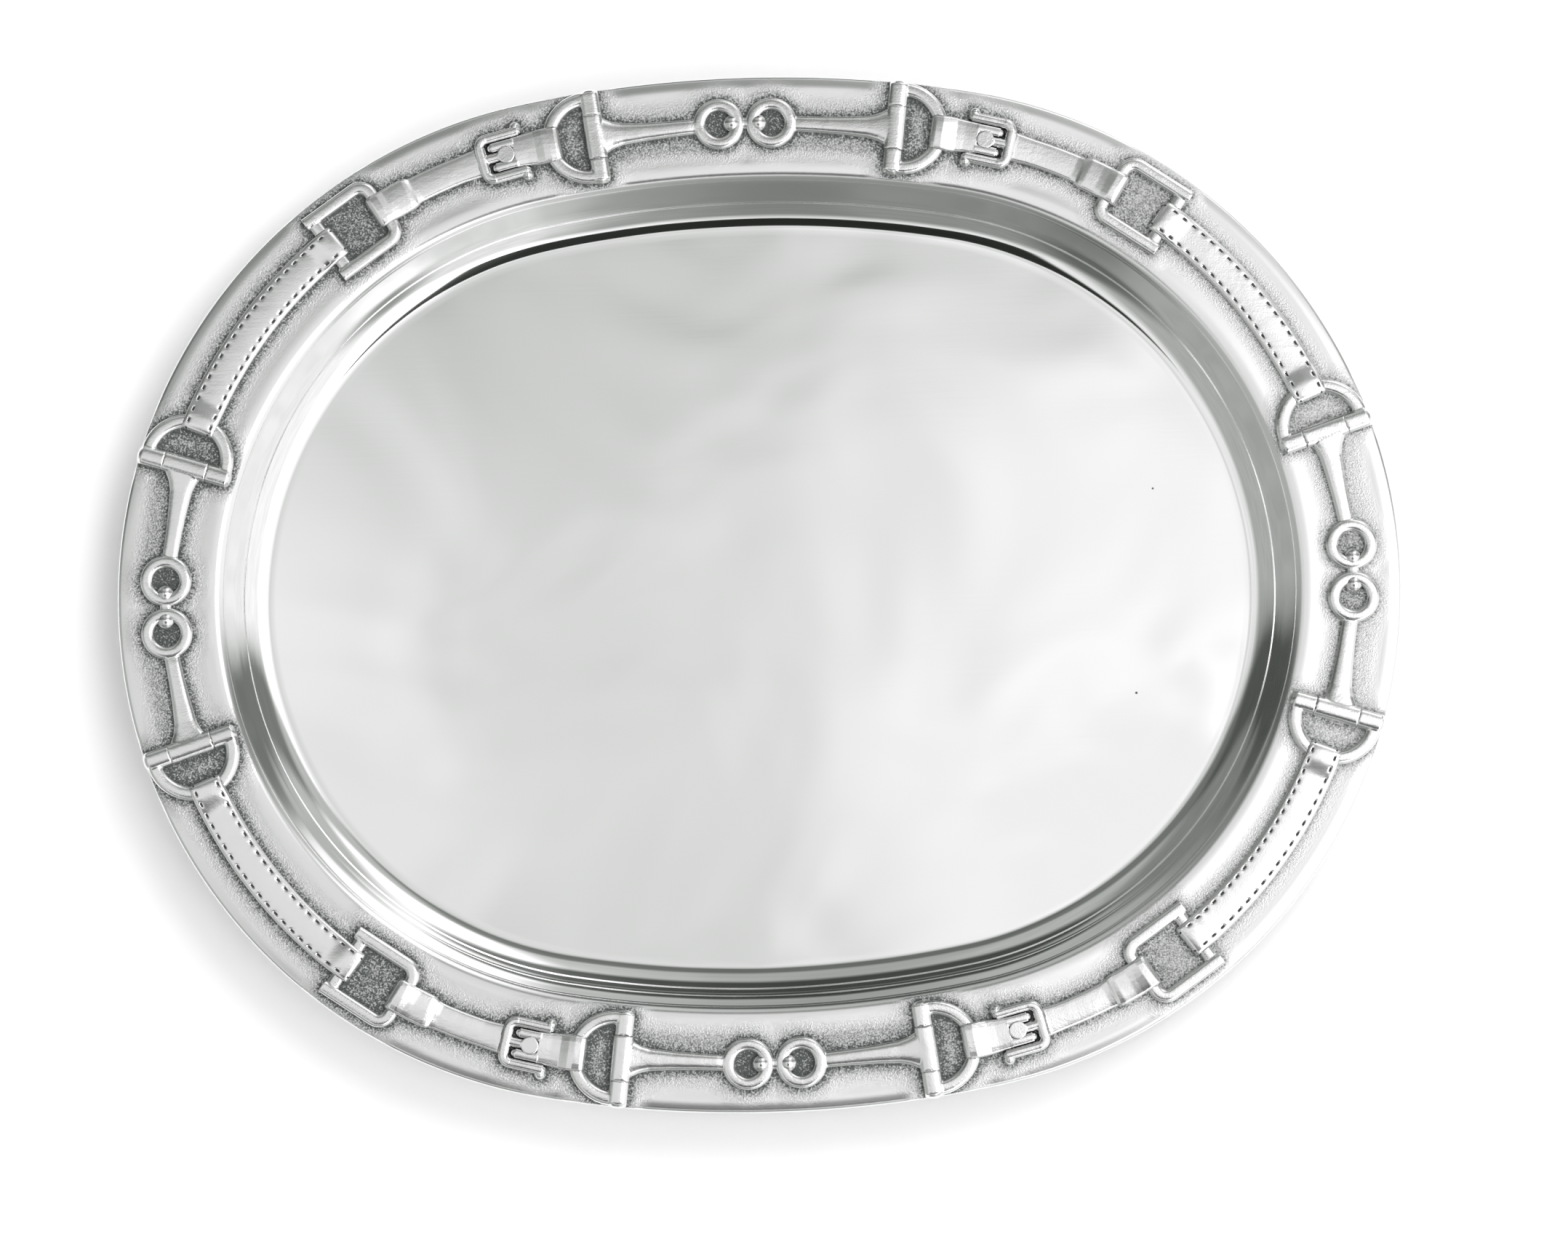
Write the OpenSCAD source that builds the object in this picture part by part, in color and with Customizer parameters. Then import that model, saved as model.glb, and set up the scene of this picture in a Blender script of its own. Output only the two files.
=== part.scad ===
// Oval cast serving tray whose flat rim carries a border of horse tack in relief:
// a snaffle bit at each end and at each long side, joined by straps, keepers and buckles.
// Millimetres, +Z up, +X along the length. The origin is the middle of the underside.

/* [Oval] */
// Overall length, edge to edge
tray_length = 457; // [380:1:560]
// Overall width, edge to edge
tray_width = 371; // [305:1:450]
// How far the long sides bow out beyond the radius of the end arcs
side_rise = 4.3; // [2:0.1:8]

/* [Section] */
// Height of the flat of the rim above the table
rim_height = 22; // [16:0.5:27]
// Width of the flat rim, from its edge to the lip over the wall
rim_width = 34.5; // [33:0.5:44]
// Thickness of the casting
metal = 3.5; // [2.5:0.1:5]
// Slope of the straight part of the wall, in degrees from level
wall_slope = 68; // [50:1:80]
// Radius of the rounded lip between rim and wall
lip_radius = 4; // [3.8:0.1:6]
// Radius of the cove between wall and floor
cove_radius = 12; // [6:0.5:14]
// Rounding of the upper corner of the outer edge
edge_top_round = 1.4; // [0.6:0.1:1.8]
// Rounding of the lower corner of the outer edge
edge_under_round = 0.9; // [0.4:0.1:1.2]

/* [Bits] */
// Outer diameter of the eye ring at the inner end of a cannon
eye_diameter = 18.6; // [14:0.1:22]
// Width of the eye ring's band
eye_band = 4.3; // [3:0.1:5]
// Height of the eye ring
eye_height = 2.2; // [1.5:0.1:3]
// Gap between the two eye rings of a bit
eye_gap = 0.2; // [0.1:0.05:0.5]
// Distance from the middle of an end bit to each of its dee bars, along the rim
end_bar_reach = 51; // [44:0.5:54]
// Distance from the middle of a side bit to each of its dee bars, along the rim
side_bar_reach = 54; // [44:0.5:56]
// Width of the arm where it leaves the eye ring
arm_width = 6.4; // [5:0.1:9]
// Width of the arm where its flare begins
arm_wide_end = 9.2; // [7:0.1:11]
// Height of the arm's flat crown
arm_height = 2.8; // [2:0.1:3.2]
// Length of the sleeve that wraps the dee bar
sleeve_length = 16; // [12:0.1:20]
// Radius of the sleeve and of the bar ends beside it
bar_radius = 3.2; // [2.5:0.1:4]
// How far the outer bar end stands past the tray's edge
bar_overhang = 1.5; // [0.5:0.1:2.5]
// Length of the link between the eye rings
link_length = 13.8; // [10:0.1:16]
// Radius of the link's neck
link_neck = 2.3; // [1.6:0.1:3]
// Radius of the link's knobs
link_knob = 2.8; // [2:0.1:3.4]

/* [Dee rings] */
// Outer radius of the dee's curved band
dee_radius = 16.5; // [14:0.1:16.8]
// Distance from the bar's centre line to the centre of that curve
dee_offset = 2.4; // [1:0.1:3]
// Width of the band
dee_band = 4.5; // [3:0.1:6]
// Height of the band
dee_height = 2.3; // [1.5:0.1:2.6]

/* [Keepers] */
// Distance from the tray's end to the middle of a keeper, along the rim
keeper_reach = 158; // [120:0.5:176]
// Length of the keeper along the rim
keeper_length = 28.2; // [22:0.1:36]
// Width of the keeper across the rim
keeper_width = 27; // [22:0.1:30]
// Width of the keeper's bars
keeper_band = 4.4; // [3:0.1:6]
// Height of the keeper's bars
keeper_height = 2.3; // [1.5:0.1:2.6]
// Outer radius of the two corners on the narrow strap's side
keeper_corner = 6.5; // [5:0.1:9]
// How far the keeper's long sides run past the bar under the stitched strap
keeper_end = 0.9; // [0.4:0.1:2]

/* [Straps] */
// Width of the stitched strap
stitched_width = 12.6; // [10:0.1:16]
// Width of the narrow strap
narrow_width = 9.8; // [7:0.1:12]
// Width of the billet and of the turned-back end of the narrow strap
billet_width = 12.2; // [9:0.1:14]
// Height of the straps
strap_height = 1.9; // [1.2:0.1:2.2]
// Height of a strap end where it folds over a ring or keeper
fold_height = 3.2; // [2.8:0.1:4]
// How far a fold reaches past the inner side of the bar that it wraps
fold_lap = 1.8; // [0.8:0.1:3]
// How far a fold runs back along its strap
fold_tail = 3; // [1:0.5:8]
// How far the narrow strap's turned-back end runs along it
turned_tail = 9.5; // [4:0.5:14]
// Bevel along the upper edges of the straps
strap_bevel = 0.6; // [0.2:0.1:1]

/* [Stitches] */
// Distance from one stitch to the next
stitch_pitch = 4.3; // [3:0.1:8]
// Length of a stitch
stitch_length = 2.1; // [1:0.1:3]
// Width of a stitch
stitch_width = 0.5; // [0.3:0.1:1]
// Depth of a stitch
stitch_depth = 0.3; // [0.1:0.1:0.6]
// Distance from the strap's edge to the row of stitches
stitch_inset = 2.1; // [1:0.1:3]

/* [Buckles] */
// Distance from the middle of the long side to the middle of a buckle, along the rim
buckle_reach = 88; // [84:0.5:100]
// Length of the buckle along the rim
buckle_length = 18; // [14:0.1:22]
// Width of the buckle across the rim
buckle_width = 17.6; // [15:0.1:22]
// Width of the buckle's arms
buckle_band = 2.6; // [1.8:0.1:3.2]
// Width of the bar that closes the buckle
buckle_bar = 3.2; // [2:0.1:4]
// Outer radius of the buckle's closed corners
buckle_corner = 4.2; // [3.8:0.1:6]
// Height of the buckle
buckle_height = 2.6; // [2:0.1:3.2]
// Radius of the roller ends on the buckle's sides
roller_radius = 1.9; // [1:0.1:2.5]
// Width of the tongue
tongue_width = 2.6; // [1.5:0.1:3]
// Distance from the buckle's closed side to the middle of the tongue's head
tongue_reach = 10; // [7:0.1:14]
// Radius of the round head of the tongue
tongue_head = 3; // [2:0.1:4]
// Gap between the end of the billet and the closed side of the buckle
billet_end_gap = 1.1; // [0.5:0.1:2]

/* [Hidden] */
$fn = 96;
// Sides of a full turn along the rim, where the arcs are long
SWEEP_SIDES = 240;
CORNERS = ["ne", "nw", "sw", "se"];

POLISHED = [0.83, 0.84, 0.85];
RELIEF = [0.74, 0.76, 0.77];
STRAP = [0.78, 0.79, 0.80];
LIP_STEPS = 6;
COVE_STEPS = 9;
EDGE_STEPS = 4;
FLARE_STEPS = 6;
CORNER_STEPS = 5;
// Smallest fillet under the lip, for a casting thicker than the lip's radius
LEAST_FILLET = 0.3;
// How much lower the bar under the stitched strap is than the rest of the keeper
BAR_STEP = 0.2;
// Length that cuts run past what they cut
past = 1;
// How far in from the lip the swept sections run to meet the floor's middle
floor_lap = 60;
// Length by which the end and side arcs run into each other where they meet, and the hair's breadth
// by which the side arcs are set in, so that the curved faces of the two never coincide there
joint_lap = 0.5;
joint_step = 0.02;

// The oval: an arc about end_centre at each end and an arc about side_centre along each side.
half_length = tray_length / 2;
half_width = tray_width / 2;
end_radius = half_width - side_rise;
end_centre = half_length - end_radius;
side_radius = (end_centre ^ 2 + half_width ^ 2 - end_radius ^ 2) / (2 * side_rise);
side_centre = side_radius - half_width;
// Direction, from level, of the line on which the two arcs meet
joint_angle = atan2(side_centre, end_centre);
end_lap = joint_lap / end_radius * 180 / PI;
side_lap = joint_lap / side_radius * 180 / PI;
// Distance from either centre that lies well outside the tray
reach = tray_length + side_radius;

// The middle line of the rim, on which the relief is laid out from the end to the side.
mid = rim_width / 2;
end_mid = end_radius - mid;
side_mid = side_radius - mid;
end_run = end_mid * joint_angle * PI / 180;
quarter_run = end_run + side_mid * (90 - joint_angle) * PI / 180;

// Section of the tray: distance in from the edge, and height.
lip_sine = sin(wall_slope);
lip_cosine = cos(wall_slope);
wall_rise = rim_height - metal - (lip_radius + cove_radius) * (1 - lip_cosine);
wall_straight = wall_rise / lip_sine;
cove_in = rim_width + (lip_radius + cove_radius) * lip_sine + wall_straight * lip_cosine;
under_lip = max(lip_radius - metal, LEAST_FILLET);
under_shift = lip_radius - metal - under_lip;

// Stations along the rim's middle line
eye_radius = eye_diameter / 2;
eye_station = eye_radius + eye_gap / 2;
dee_far = dee_offset + dee_radius;
end_strap_start = end_bar_reach + dee_far - dee_band - fold_lap;
keeper_near = keeper_reach - keeper_length / 2 + keeper_end;
keeper_far = keeper_reach + keeper_length / 2;
buckle_station = quarter_run - buckle_reach;
buckle_near = buckle_station - buckle_length / 2;
buckle_far = buckle_station + buckle_length / 2;
side_bar = quarter_run - side_bar_reach;
side_strap_end = side_bar - dee_far + dee_band + fold_lap;

function arc(cx, cy, r, from, to, steps) =
    [for (i = [0 : steps]) let (a = from + (to - from) * i / steps) [cx + r * cos(a), cy + r * sin(a)]];

// Direction of the outward normal, and place, at a station on the middle line
function facing(s) =
    s <= end_run ? s / end_mid * 180 / PI : joint_angle + (s - end_run) / side_mid * 180 / PI;
function place(s) = let (a = facing(s))
    s <= end_run ? [end_centre + end_mid * cos(a), end_mid * sin(a)]
                 : [side_mid * cos(a), side_mid * sin(a) - side_centre];

// A frame on the rim: X runs along it from the end to the side, Y in towards the tray, Z up.
module at(s) {
    translate([place(s).x, place(s).y, rim_height]) rotate([0, 0, facing(s) + 90]) children();
}

module quarter(c) {
    mirror([c == "nw" || c == "sw" ? 1 : 0, 0, 0])
        mirror([0, c == "sw" || c == "se" ? 1 : 0, 0])
            children();
}

// A point far outside the tray, seen from a centre in a direction
function far(centre, a) = centre + reach * [cos(a), sin(a)];

// A flat section turned about the centre of an arc, between two directions less than 180 apart.
// The section's X is the distance from the centre and its Y is up.
module turned(centre, from, to) {
    middle = (from + to) / 2;
    intersection() {
        translate([centre.x, centre.y, 0]) rotate_extrude() children();
        translate([0, 0, -tray_length])
            linear_extrude(2 * tray_length)
                polygon([centre, far(centre, from), centre + 2 * (far(centre, middle) - centre),
                    far(centre, to)]);
    }
}

// Sweeps a flat section along the rim's middle line from one station to another.
// The section's X is across the rim and its Y is up from the flat of the rim.
module sweep(from, to) {
    $fn = SWEEP_SIDES;
    crosses = from < end_run && to > end_run;
    if (from < end_run)
        turned([end_centre, 0], facing(from), crosses ? joint_angle + end_lap : facing(to))
            translate([end_mid, rim_height]) children();
    if (to > end_run)
        turned([0, -side_centre], crosses ? joint_angle - side_lap : facing(from), facing(to))
            translate([side_mid - (crosses ? joint_step : 0), rim_height]) children();
}

// Upper side of a round bar, as wide and as high as asked, standing on the rim
module dome(width, height) {
    r = (width ^ 2 / 4 + height ^ 2) / (2 * height);
    intersection() {
        translate([0, height - r]) circle(r, $fn = 96);
        translate([-width, 0]) square([2 * width, 2 * height]);
    }
}

module strap_section(width, height) {
    polygon([[-width / 2, 0], [width / 2, 0], [width / 2, height - strap_bevel],
        [width / 2 - strap_bevel, height], [strap_bevel - width / 2, height],
        [-width / 2, height - strap_bevel]]);
}

// Keeps what stands above the flat of the rim.
module above_rim(height) {
    intersection() {
        children();
        translate([-tray_length, -tray_length, 0]) cube([2 * tray_length, 2 * tray_length, height]);
    }
}

// Section of the casting for an arc of the given radius, from inner_x out to its edge
module tray_section(radius, inner_x) {
    lip = [radius - rim_width, rim_height - lip_radius];
    cove = [radius - cove_in, metal + cove_radius];
    under = rim_height - metal;
    polygon(concat(
        [[inner_x, 0]],
        arc(cove.x, cove.y, cove_radius + metal, -90, wall_slope - 90, COVE_STEPS),
        arc(lip.x - under_shift * (1 - lip_cosine) / lip_sine, lip.y + under_shift, under_lip,
            wall_slope + 90, 90, LIP_STEPS),
        arc(radius - edge_under_round, under + edge_under_round, edge_under_round, -90, 0, EDGE_STEPS),
        arc(radius - edge_top_round, rim_height - edge_top_round, edge_top_round, 0, 90, EDGE_STEPS),
        arc(lip.x, lip.y, lip_radius, 90, wall_slope + 90, LIP_STEPS),
        arc(cove.x, cove.y, cove_radius, wall_slope - 90, -90, COVE_STEPS),
        [[inner_x, metal]]));
}

module tray_body() {
    floor_half = [half_length - cove_in - past, half_width - cove_in - past];
    color(POLISHED) {
        for (corner = CORNERS)
            quarter(corner) {
                turned([end_centre, 0], 0, joint_angle + end_lap)
                    tray_section(end_radius, end_radius - rim_width - floor_lap);
                turned([0, -side_centre], joint_angle - side_lap, 90)
                    tray_section(side_radius - joint_step, side_radius - rim_width - floor_lap);
            }
        linear_extrude(metal)
            polygon([for (a = [0 : 15 : 345]) [floor_half.x * cos(a), floor_half.y * sin(a)]]);
    }
}

// The casting near one station, for cutting what wraps its edge
module rim_piece(s) {
    spread = 3 * bar_radius;
    sweep(max(s - spread, 0), min(s + spread, quarter_run))
        polygon([[-past - mid, 0], [mid - edge_top_round, 0],
            for (p = arc(mid - edge_top_round, -edge_top_round, edge_top_round, 90, 0, EDGE_STEPS)) p,
            for (p = arc(mid - edge_under_round, edge_under_round - metal, edge_under_round, 0, -90,
                EDGE_STEPS)) p,
            [-past - mid, -metal]]);
}

// One end of a dee's bar, lying across the rim from one place to another
module bar_end(from, to) {
    translate([0, from, 0]) rotate([-90, 0, 0]) cylinder(r = bar_radius, h = to - from);
}

// A dee at a bar station, curving towards greater stations for way = 1 and lesser for -1
module dee(s, way) {
    at(s) mirror([way < 0 ? 1 : 0, 0, 0]) {
        translate([dee_offset, 0, 0])
            rotate([0, 0, -90])
                rotate_extrude(angle = 180)
                    translate([dee_radius - dee_band / 2, 0]) dome(dee_band, dee_height);
        above_rim(2 * bar_radius) bar_end(sleeve_length / 2, mid);
    }
    difference() {
        at(s) bar_end(-mid - bar_overhang, -sleeve_length / 2);
        rim_piece(s);
        at(s) translate([-2 * bar_radius, -mid, -3 * bar_radius])
            cube([4 * bar_radius, mid, 3 * bar_radius]);
    }
}

// The link that joins the two eye rings at the middle of a bit
module link(s) {
    half = link_length / 2;
    at(s) above_rim(2 * link_knob) {
        rotate([0, 90, 0]) cylinder(r = link_neck, h = link_length - 2 * link_knob, center = true);
        for (side = [-1, 1])
            translate([side * (half - link_knob), 0, 0]) sphere(r = link_knob);
    }
}

// Half outline of a cannon's arm, turned about the arm's own line
module arm_section(length) {
    start = eye_radius - eye_band / 2;
    flare = (sleeve_length - arm_wide_end) / 2;
    flare_start = length - bar_radius * 0.5 - flare;
    polygon(concat([[0, start], [arm_width / 2, start]],
        [for (p = arc(flare_start, arm_wide_end / 2 + flare, flare, -90, 0, FLARE_STEPS)) [p.y, p.x]],
        [[sleeve_length / 2, length], [0, length]]));
}

// A cannon: its eye ring by the middle of the bit and its sleeve at the bar's station
module cannon(eye_s, bar_s, link_s) {
    run = place(bar_s) - place(eye_s);
    difference() {
        union() {
            translate([place(eye_s).x, place(eye_s).y, rim_height]) {
                rotate_extrude() translate([eye_radius - eye_band / 2, 0]) dome(eye_band, eye_height);
                rotate([0, 0, atan2(run.y, run.x)])
                    above_rim(arm_height)
                        rotate([0, 90, 0]) rotate_extrude() arm_section(norm(run));
            }
            at(bar_s) above_rim(2 * bar_radius) bar_end(-sleeve_length / 2, sleeve_length / 2);
        }
        link(link_s);
    }
}

module keeper() {
    half = keeper_length / 2;
    side = (keeper_width - keeper_band) / 2;
    turn = keeper_corner - keeper_band / 2;
    at(keeper_reach) {
        for (y = [-side, side])
            translate([-half, y, 0])
                rotate([90, 0, 90])
                    linear_extrude(keeper_length - keeper_corner) dome(keeper_band, keeper_height);
        translate([keeper_band / 2 + keeper_end - half, side, 0])
            rotate([90, 0, 0])
                linear_extrude(2 * side) dome(keeper_band, keeper_height - BAR_STEP);
        translate([half - keeper_band / 2, keeper_width / 2 - keeper_corner, 0])
            rotate([90, 0, 0])
                linear_extrude(keeper_width - 2 * keeper_corner) dome(keeper_band, keeper_height);
        for (way = [0, 1])
            mirror([0, way, 0])
                translate([half - keeper_corner, keeper_width / 2 - keeper_corner, 0])
                    rotate_extrude(angle = 90) translate([turn, 0]) dome(keeper_band, keeper_height);
    }
}

// Rows of stitches along both edges of the stitched strap
module stitches() {
    usable = keeper_near - end_bar_reach - dee_far - 2 * fold_tail;
    count = floor(usable / stitch_pitch);
    first = end_bar_reach + dee_far + fold_tail + (usable - (count - 1) * stitch_pitch) / 2;
    row = stitched_width / 2 - stitch_inset;
    for (i = [0 : count - 1])
        at(first + i * stitch_pitch)
            for (y = [-row, row])
                translate([0, y, strap_height])
                    cube([stitch_length, stitch_width, 2 * stitch_depth], center = true);
}

module stitched_strap() {
    fold_end = keeper_near + keeper_band + fold_lap;
    difference() {
        union() {
            sweep(end_strap_start, fold_end) strap_section(stitched_width, strap_height);
            sweep(end_strap_start, end_bar_reach + dee_far + fold_tail)
                strap_section(stitched_width, fold_height);
            sweep(keeper_near - fold_tail, fold_end) strap_section(stitched_width, fold_height);
        }
        dee(end_bar_reach, 1);
        keeper();
        stitches();
    }
}

module narrow_strap() {
    start = keeper_far - keeper_band - fold_lap;
    difference() {
        union() {
            sweep(start, buckle_near) strap_section(narrow_width, strap_height);
            sweep(start, keeper_far + turned_tail) strap_section(billet_width, fold_height);
        }
        keeper();
        buckle();
    }
}

// Outline of the buckle's frame: a closed bar with rounded corners, and two arms towards the side dee
module buckle_outline() {
    end = buckle_length / 2;
    side = buckle_width / 2;
    inner = side - buckle_band;
    bar = buckle_bar - end;
    inner_corner = buckle_corner - buckle_band;
    difference() {
        polygon(concat([[end, -side], [end, side]],
            arc(buckle_corner - end, side - buckle_corner, buckle_corner, 90, 180, CORNER_STEPS),
            arc(buckle_corner - end, buckle_corner - side, buckle_corner, 180, 270, CORNER_STEPS)));
        polygon(concat([[end + past, -inner], [end + past, inner]],
            arc(bar + inner_corner, inner - inner_corner, inner_corner, 90, 180, CORNER_STEPS),
            arc(bar + inner_corner, inner_corner - inner, inner_corner, 180, 270, CORNER_STEPS)));
    }
}

// The buckle: its frame, the roller ends on its arms, and its tongue with a round head
module buckle() {
    end = buckle_length / 2;
    at(buckle_station) {
        linear_extrude(buckle_height) buckle_outline();
        for (way = [0, 1])
            mirror([0, way, 0])
                translate([end - roller_radius, buckle_width / 2, 0])
                    cylinder(r = roller_radius, h = buckle_height);
        translate([-end, -tongue_width / 2, 0]) cube([tongue_reach, tongue_width, buckle_height]);
        translate([tongue_reach - end, 0, 0]) cylinder(r = tongue_head, h = buckle_height);
    }
}

module billet() {
    difference() {
        union() {
            sweep(buckle_near + buckle_bar + billet_end_gap, side_strap_end)
                strap_section(billet_width, strap_height);
            sweep(side_bar - dee_far - fold_tail, side_strap_end)
                strap_section(billet_width, fold_height);
        }
        dee(side_bar, -1);
        buckle();
    }
}

tray_body();
color(RELIEF) link(0);  // link_e
color(RELIEF) mirror([1, 0, 0]) link(0);  // link_w
color(RELIEF) link(quarter_run);  // link_n
color(RELIEF) mirror([0, 1, 0]) link(quarter_run);  // link_s
for (c = CORNERS) {
    color(RELIEF) quarter(c) cannon(eye_station, end_bar_reach, 0);
    color(RELIEF) quarter(c) cannon(quarter_run - eye_station, side_bar, quarter_run);
    color(RELIEF) quarter(c) dee(end_bar_reach, 1);
    color(RELIEF) quarter(c) dee(side_bar, -1);
    color(RELIEF) quarter(c) keeper();
    color(STRAP) quarter(c) stitched_strap();
    color(STRAP) quarter(c) narrow_strap();
    color(RELIEF) quarter(c) buckle();
    color(STRAP) quarter(c) billet();
}
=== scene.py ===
"""Looks of an oval cast tray whose rim carries a border of horse tack in relief.

The casting is one section turned into a quarter, mirrored, and closed by its floor. Each piece of
tack is modelled once, in the corner between +X and +Y, in millimetres from the flat of the rim, and
copied to the other corners. A station is a distance along the middle line of the rim, from the +X
end round to the +Y side.
"""
import math

import bpy
from mathutils import Matrix, Vector
from mathutils.bvhtree import BVHTree


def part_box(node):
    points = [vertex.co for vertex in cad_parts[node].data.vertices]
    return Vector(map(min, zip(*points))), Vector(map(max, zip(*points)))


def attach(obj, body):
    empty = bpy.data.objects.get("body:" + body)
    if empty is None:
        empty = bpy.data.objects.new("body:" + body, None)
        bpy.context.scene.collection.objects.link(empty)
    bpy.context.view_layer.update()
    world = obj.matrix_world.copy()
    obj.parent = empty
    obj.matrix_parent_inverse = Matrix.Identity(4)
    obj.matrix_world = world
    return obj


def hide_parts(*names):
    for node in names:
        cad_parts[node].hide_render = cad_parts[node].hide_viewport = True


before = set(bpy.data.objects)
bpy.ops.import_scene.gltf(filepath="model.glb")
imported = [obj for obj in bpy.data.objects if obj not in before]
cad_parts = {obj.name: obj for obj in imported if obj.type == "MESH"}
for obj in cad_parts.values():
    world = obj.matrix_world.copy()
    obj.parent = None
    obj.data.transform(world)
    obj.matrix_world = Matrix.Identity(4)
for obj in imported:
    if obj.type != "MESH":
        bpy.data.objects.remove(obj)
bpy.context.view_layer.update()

MM = 0.001

# ---------------------------------------------------------------- sizes, in millimetres
tray_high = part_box("tray_body")[1]
HALF_LENGTH = tray_high.x / MM
HALF_WIDTH = tray_high.y / MM
RIM_TOP = tray_high.z / MM
SIDE_RISE = 4.3  # how far the long sides bow out past the round ends
RIM_WIDTH = 34.5
METAL = 3.5
WALL_SLOPE = 68  # degrees
LIP_RADIUS = 4  # from the rim down into the wall
COVE_RADIUS = 12  # from the wall into the floor
EDGE_TOP = 1.4  # rounding of the outer edge, above and underneath
EDGE_UNDER = 0.9
FLOOR_MARGIN = 8  # floor that is drawn with the section
FLOOR_RINGS = 8
CROWNS = ((EDGE_TOP, 3.4, 9.5, 0.2), (27.5, 32.4, RIM_WIDTH, 0.1))  # start, top, end, height

END_RADIUS = HALF_WIDTH - SIDE_RISE
END_CENTRE = HALF_LENGTH - END_RADIUS
SIDE_RADIUS = (END_CENTRE ** 2 + HALF_WIDTH ** 2 - END_RADIUS ** 2) / (2 * SIDE_RISE)
SIDE_CENTRE = SIDE_RADIUS - HALF_WIDTH
JOINT_ANGLE = math.atan2(SIDE_CENTRE, END_CENTRE)
MID = RIM_WIDTH / 2
END_MID = END_RADIUS - MID
SIDE_MID = SIDE_RADIUS - MID
END_RUN = END_MID * JOINT_ANGLE
QUARTER_RUN = END_RUN + SIDE_MID * (math.pi / 2 - JOINT_ANGLE)

# Stations of the tack, and sizes that more than one piece of it shares.
EYE_RADIUS = 9.3
EYE_STATION = 9.4
END_BAR = 51
SIDE_BAR = QUARTER_RUN - 54
SLEEVE = 16
DEE_REACH = 18.9
DEE_BAND = 4.5
KEEPER = 158
KEEPER_HALF = 14.1
KEEPER_FROM = KEEPER - KEEPER_HALF + 0.9  # near edge of the bar that the stitched strap wraps
KEEPER_BAR = 4.4
BUCKLE = QUARTER_RUN - 88
FOLD_LAP = 1.8  # how far a folded strap reaches past the bar it wraps
BAND_HEIGHT = 2.45
BURIED = 0.8

STRAP_HALF = 6.3
STITCH_ROW = 4.25  # from the strap's middle line
STITCH_PITCH = 4.15
STITCH_LENGTH = 1.9
STITCH_DEPTH = 0.3

CORNERS = {"ne": (1, 1), "nw": (-1, 1), "sw": (-1, -1), "se": (1, -1)}
VOXEL = 0.3
FINE_VOXEL = 0.65 * VOXEL
WELD = 0.001


# ---------------------------------------------------------------- places on the rim
def facing(s):
    """Direction of the outward normal at a station on the middle line of the rim."""
    if s <= END_RUN:
        return s / END_MID
    return JOINT_ANGLE + (s - END_RUN) / SIDE_MID


def place(s):
    """Point of the rim's surface at a station on its middle line."""
    a = facing(s)
    if s <= END_RUN:
        return Vector((END_CENTRE + END_MID * math.cos(a), END_MID * math.sin(a), RIM_TOP))
    return Vector((SIDE_MID * math.cos(a), SIDE_MID * math.sin(a) - SIDE_CENTRE, RIM_TOP))


def rim_frame(s):
    """X along the rim from the end to the side, Y in towards the tray, Z up."""
    return Matrix.Translation(place(s) * MM) @ Matrix.Rotation(facing(s) + math.pi / 2, 4, "Z")


# ---------------------------------------------------------------- bench tools
def only(piece):
    """Makes a piece the only one selected, and the active one."""
    bpy.ops.object.select_all(action="DESELECT")
    piece.select_set(True)
    bpy.context.view_layer.objects.active = piece


def apply_modifier(piece, kind, **settings):
    """Runs a modifier once over a piece, and leaves the piece selected and active."""
    only(piece)
    modifier = piece.modifiers.new(kind.title(), kind)
    for key, value in settings.items():
        setattr(modifier, key, value)
    bpy.ops.object.modifier_apply(modifier=modifier.name)


def set_in_place(piece, matrix):
    """Moves a piece by a matrix, all the way into its mesh."""
    only(piece)
    piece.matrix_world = matrix @ piece.matrix_world
    bpy.ops.object.transform_apply(location=True, rotation=True, scale=True)
    return piece


def start_point(point):
    """A mesh of one selected vertex, at a point in millimetres; stays in edit mode."""
    bpy.ops.object.select_all(action="DESELECT")
    bpy.ops.mesh.primitive_plane_add(size=MM, location=Vector(point) * MM)
    piece = bpy.context.object
    bpy.ops.object.transform_apply(location=True, rotation=False, scale=False)
    bpy.ops.object.mode_set(mode="EDIT")
    bpy.ops.mesh.select_all(action="SELECT")
    bpy.ops.mesh.merge(type="CENTER")
    return piece


def draw_section(points, filled=False):
    """Draws edges from point to point, in millimetres, with a face if asked; stays in edit mode."""
    piece = start_point(points[0])
    for a, b in zip(points, points[1:]):
        step = (Vector(b) - Vector(a)) * MM
        bpy.ops.mesh.extrude_region_move(TRANSFORM_OT_translate={"value": step})
    bpy.ops.mesh.select_all(action="SELECT")
    if filled:
        bpy.ops.mesh.edge_face_add()
    return piece


def sweep_quarter(end_steps, side_steps):
    """Turns what is selected about the end's centre, then the side's; ends in object mode."""
    bpy.ops.mesh.spin(steps=end_steps, angle=-JOINT_ANGLE, center=(END_CENTRE * MM, 0, 0),
                      axis=(0, 0, 1))
    bpy.ops.mesh.spin(steps=side_steps, angle=JOINT_ANGLE - math.pi / 2,
                      center=(0, -SIDE_CENTRE * MM, 0), axis=(0, 0, 1))
    bpy.ops.mesh.select_all(action="SELECT")
    bpy.ops.mesh.remove_doubles(threshold=WELD * MM)
    bpy.ops.object.mode_set(mode="OBJECT")


def half_round(fullness=3.6):
    """Unit section of a half-round bar: (across, up), with its foot below the rim."""
    sides, foot = 12, 0.35
    arc = []
    for i in range(sides + 1):
        across = math.cos(math.pi * (1 - i / sides))
        arc.append((across, (1 - abs(across) ** fullness) ** (1 / fullness)))
    return [(-1, -foot)] + arc + [(1, -foot)]


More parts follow.
